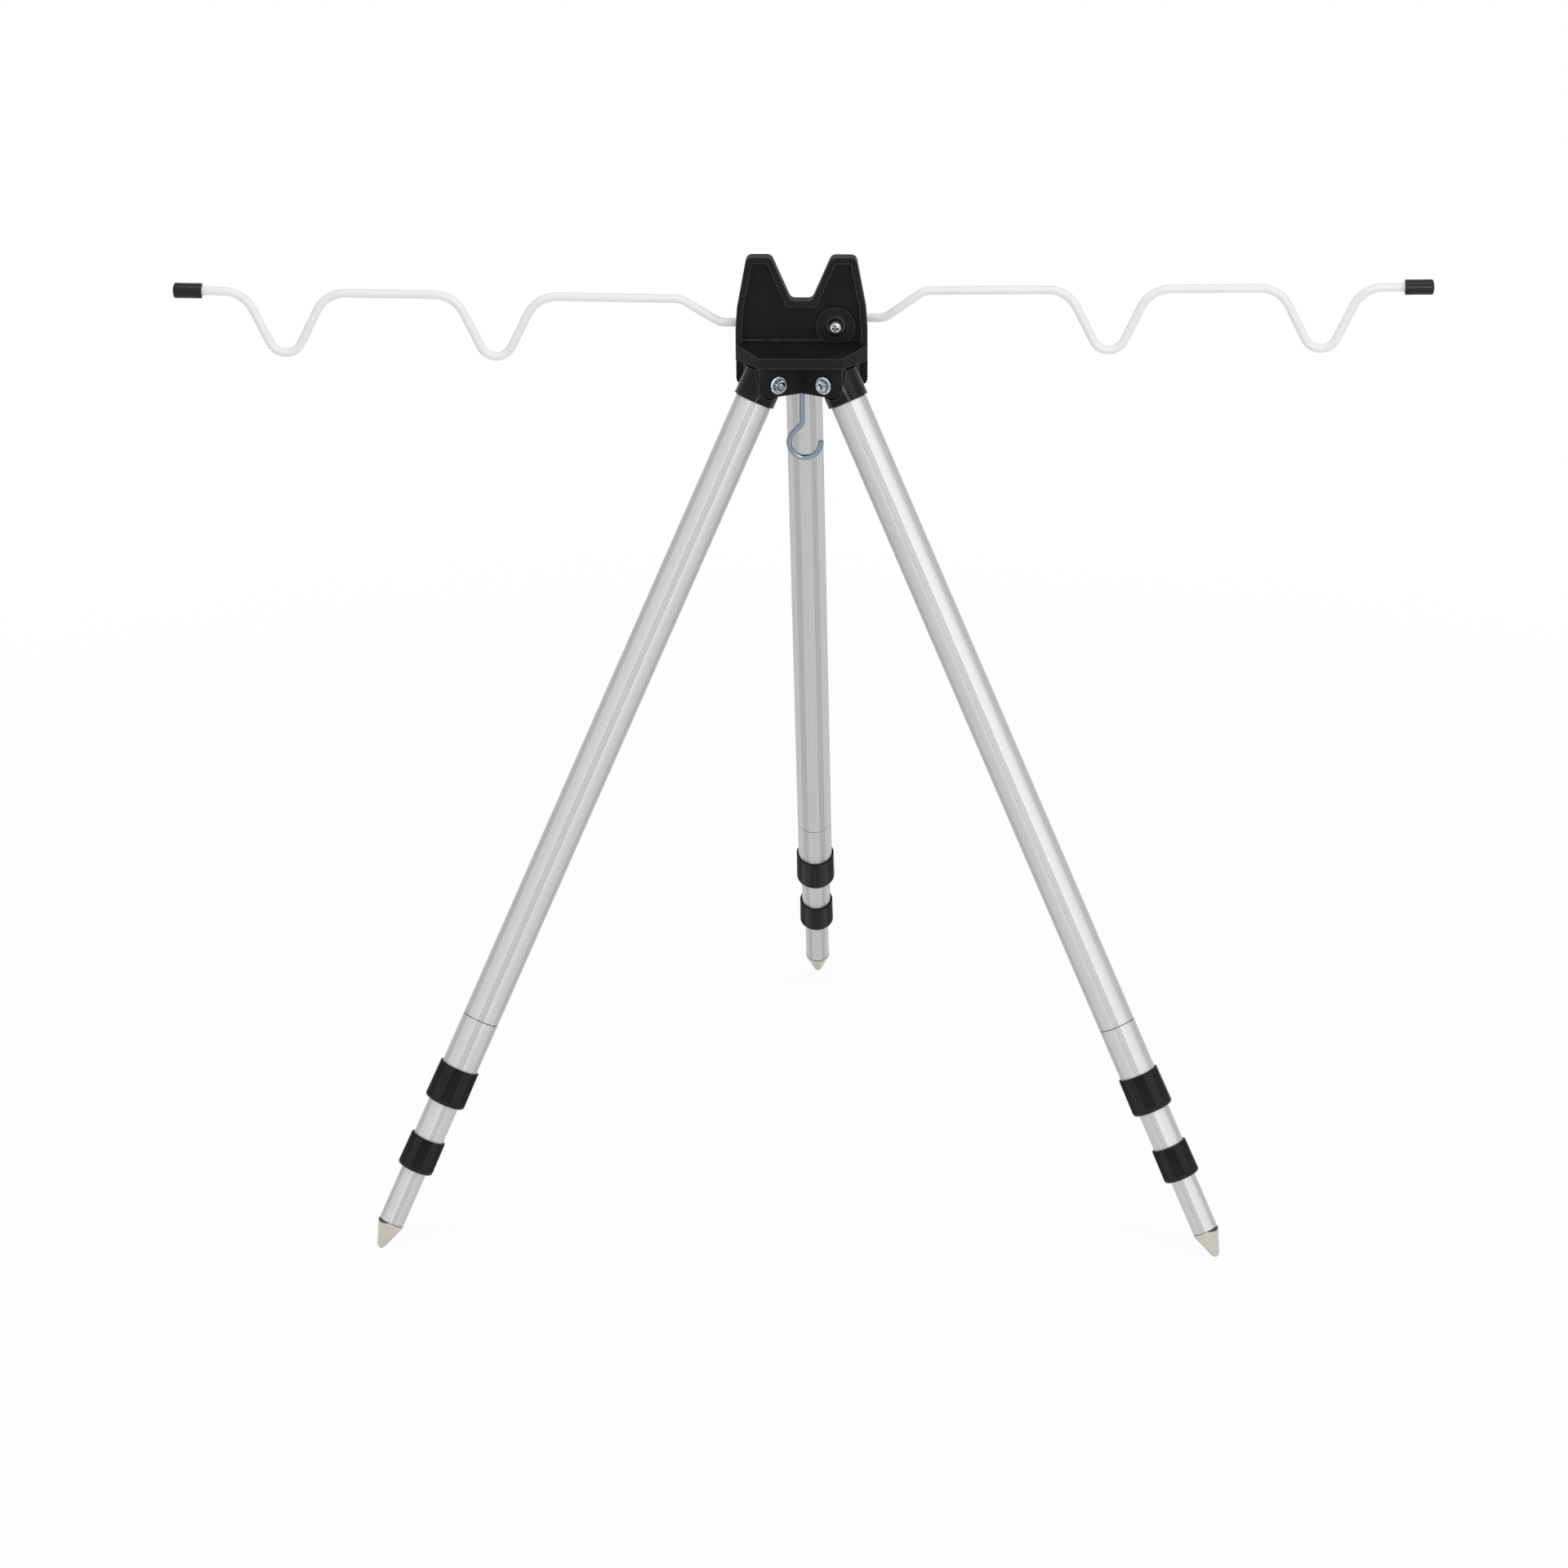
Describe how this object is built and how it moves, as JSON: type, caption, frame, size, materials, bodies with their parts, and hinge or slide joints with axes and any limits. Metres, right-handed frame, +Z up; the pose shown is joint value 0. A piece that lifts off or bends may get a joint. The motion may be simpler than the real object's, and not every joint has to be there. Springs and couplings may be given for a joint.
{
  "type": "surf rod tripod",
  "caption": "Folding fishing rod tripod: moulded head with a V rest, bent wire rod arms, hinged telescopic legs with twist locks and spikes, and a hook for ballast.",
  "frame": {"origin": "on the ground, under the middle of the standing tripod's outline, legs spread and short", "axes": "+X to the right along the rod arms as seen from the front, +Y to the back towards the rear leg, +Z up"},
  "size_m": [0.8502, 0.5078, 0.6598],
  "materials": {
    "head_plastic": "satin black moulded nylon",
    "collar_plastic": "satin black, ribbed in groups",
    "inner_nylon": "plain dark nylon, hidden",
    "tube_aluminium": "satin anodised with fine lengthwise grooves",
    "arm_coating": "smooth white coating over steel wire",
    "cap_rubber": "matte black",
    "bush_nylon": "glossy black nylon, tapered",
    "zinc_fastener": "bright zinc plated",
    "hook_zinc": "bright zinc plated wire",
    "spike_nickel": "turned and nickel plated"
  },
  "bodies": {
    "head": {"head_block": "head_plastic", "hinge_bolt_left": "zinc_fastener", "hinge_nut_left": "zinc_fastener", "hinge_bolt_right": "zinc_fastener", "hinge_nut_right": "zinc_fastener", "hinge_bolt_rear": "zinc_fastener", "hinge_nut_rear": "zinc_fastener", "arm_screw_left": "zinc_fastener", "pivot_bush_left": "bush_nylon", "arm_screw_right": "zinc_fastener", "pivot_bush_right": "bush_nylon"},
    "leg_left": {"leg_fitting_left": "head_plastic", "outer_tube_left": "tube_aluminium", "lock_sleeve_left": "tube_aluminium", "upper_collet_left": "inner_nylon"},
    "upper_lock_left": {"upper_collar_left": "collar_plastic"},
    "mid_left": {"mid_bush_left": "inner_nylon", "mid_tube_left": "tube_aluminium", "lower_collet_left": "inner_nylon"},
    "lower_lock_left": {"lower_collar_left": "collar_plastic"},
    "foot_left": {"inner_bush_left": "inner_nylon", "inner_tube_left": "tube_aluminium", "foot_spike_left": "spike_nickel"},
    "leg_right": {"leg_fitting_right": "head_plastic", "outer_tube_right": "tube_aluminium", "lock_sleeve_right": "tube_aluminium", "upper_collet_right": "inner_nylon"},
    "upper_lock_right": {"upper_collar_right": "collar_plastic"},
    "mid_right": {"mid_bush_right": "inner_nylon", "mid_tube_right": "tube_aluminium", "lower_collet_right": "inner_nylon"},
    "lower_lock_right": {"lower_collar_right": "collar_plastic"},
    "foot_right": {"inner_bush_right": "inner_nylon", "inner_tube_right": "tube_aluminium", "foot_spike_right": "spike_nickel"},
    "leg_rear": {"leg_fitting_rear": "head_plastic", "outer_tube_rear": "tube_aluminium", "lock_sleeve_rear": "tube_aluminium", "upper_collet_rear": "inner_nylon"},
    "upper_lock_rear": {"upper_collar_rear": "collar_plastic"},
    "mid_rear": {"mid_bush_rear": "inner_nylon", "mid_tube_rear": "tube_aluminium", "lower_collet_rear": "inner_nylon"},
    "lower_lock_rear": {"lower_collar_rear": "collar_plastic"},
    "foot_rear": {"inner_bush_rear": "inner_nylon", "inner_tube_rear": "tube_aluminium", "foot_spike_rear": "spike_nickel"},
    "arm_left": {"rod_arm_left": "arm_coating", "arm_cap_left": "cap_rubber"},
    "arm_right": {"rod_arm_right": "arm_coating", "arm_cap_right": "cap_rubber"},
    "hook": {"ballast_hook": "hook_zinc", "hook_nut": "zinc_fastener"}
  },
  "joints": [
    {"name": "leg_left_fold", "type": "hinge", "parent": "head", "child": "leg_left", "pos_m": [-0.02078, -0.09584, 0.57533], "axis": [0.5, -0.866, 0], "range_deg": [0, 27.6]},
    {"name": "upper_lock_left_twist", "type": "hinge", "parent": "leg_left", "child": "upper_lock_left", "pos_m": [-0.02524, -0.09841, 0.57802], "axis": [-0.4012, -0.2316, -0.8862], "range_deg": [0, 90]},
    {"name": "mid_left_slide", "type": "slide", "parent": "leg_left", "child": "mid_left", "axis": [-0.4012, -0.2316, -0.8862], "range_m": [-0.026, 0.38]},
    {"name": "lower_lock_left_twist", "type": "hinge", "parent": "mid_left", "child": "lower_lock_left", "pos_m": [-0.02524, -0.09841, 0.57802], "axis": [-0.4012, -0.2316, -0.8862], "range_deg": [0, 90]},
    {"name": "foot_left_slide", "type": "slide", "parent": "mid_left", "child": "foot_left", "axis": [-0.4012, -0.2316, -0.8862], "range_m": [-0.04, 0.38]},
    {"name": "leg_right_fold", "type": "hinge", "parent": "head", "child": "leg_right", "pos_m": [0.02078, -0.09584, 0.57533], "axis": [0.5, 0.866, 0], "range_deg": [0, 27.6]},
    {"name": "upper_lock_right_twist", "type": "hinge", "parent": "leg_right", "child": "upper_lock_right", "pos_m": [0.02524, -0.09841, 0.57802], "axis": [0.4012, -0.2316, -0.8862], "range_deg": [0, 90]},
    {"name": "mid_right_slide", "type": "slide", "parent": "leg_right", "child": "mid_right", "axis": [0.4012, -0.2316, -0.8862], "range_m": [-0.026, 0.38]},
    {"name": "lower_lock_right_twist", "type": "hinge", "parent": "mid_right", "child": "lower_lock_right", "pos_m": [0.02524, -0.09841, 0.57802], "axis": [0.4012, -0.2316, -0.8862], "range_deg": [0, 90]},
    {"name": "foot_right_slide", "type": "slide", "parent": "mid_right", "child": "foot_right", "axis": [0.4012, -0.2316, -0.8862], "range_m": [-0.04, 0.38]},
    {"name": "leg_rear_fold", "type": "hinge", "parent": "head", "child": "leg_rear", "pos_m": [0, -0.05484, 0.57533], "axis": [-1, 0, 0], "range_deg": [0, 27.6]},
    {"name": "upper_lock_rear_twist", "type": "hinge", "parent": "leg_rear", "child": "upper_lock_rear", "pos_m": [0, -0.0497, 0.57802], "axis": [0, 0.4633, -0.8862], "range_deg": [0, 90]},
    {"name": "mid_rear_slide", "type": "slide", "parent": "leg_rear", "child": "mid_rear", "axis": [0, 0.4633, -0.8862], "range_m": [-0.026, 0.38]},
    {"name": "lower_lock_rear_twist", "type": "hinge", "parent": "mid_rear", "child": "lower_lock_rear", "pos_m": [0, -0.0497, 0.57802], "axis": [0, 0.4633, -0.8862], "range_deg": [0, 90]},
    {"name": "foot_rear_slide", "type": "slide", "parent": "mid_rear", "child": "foot_rear", "axis": [0, 0.4633, -0.8862], "range_m": [-0.04, 0.38]},
    {"name": "arm_left_fold", "type": "hinge", "parent": "head", "child": "arm_left", "pos_m": [-0.0229, -0.07844, 0.61123], "axis": [0, -1, 0], "range_deg": [0, 90]},
    {"name": "arm_right_fold", "type": "hinge", "parent": "head", "child": "arm_right", "pos_m": [0.0229, -0.06544, 0.61123], "axis": [0, 1, 0], "range_deg": [0, 90]},
    {"name": "hook_swivel", "type": "hinge", "parent": "head", "child": "hook", "pos_m": [0, -0.08384, 0.57533], "axis": [0, 0, 1], "continuous": true}
  ]
}
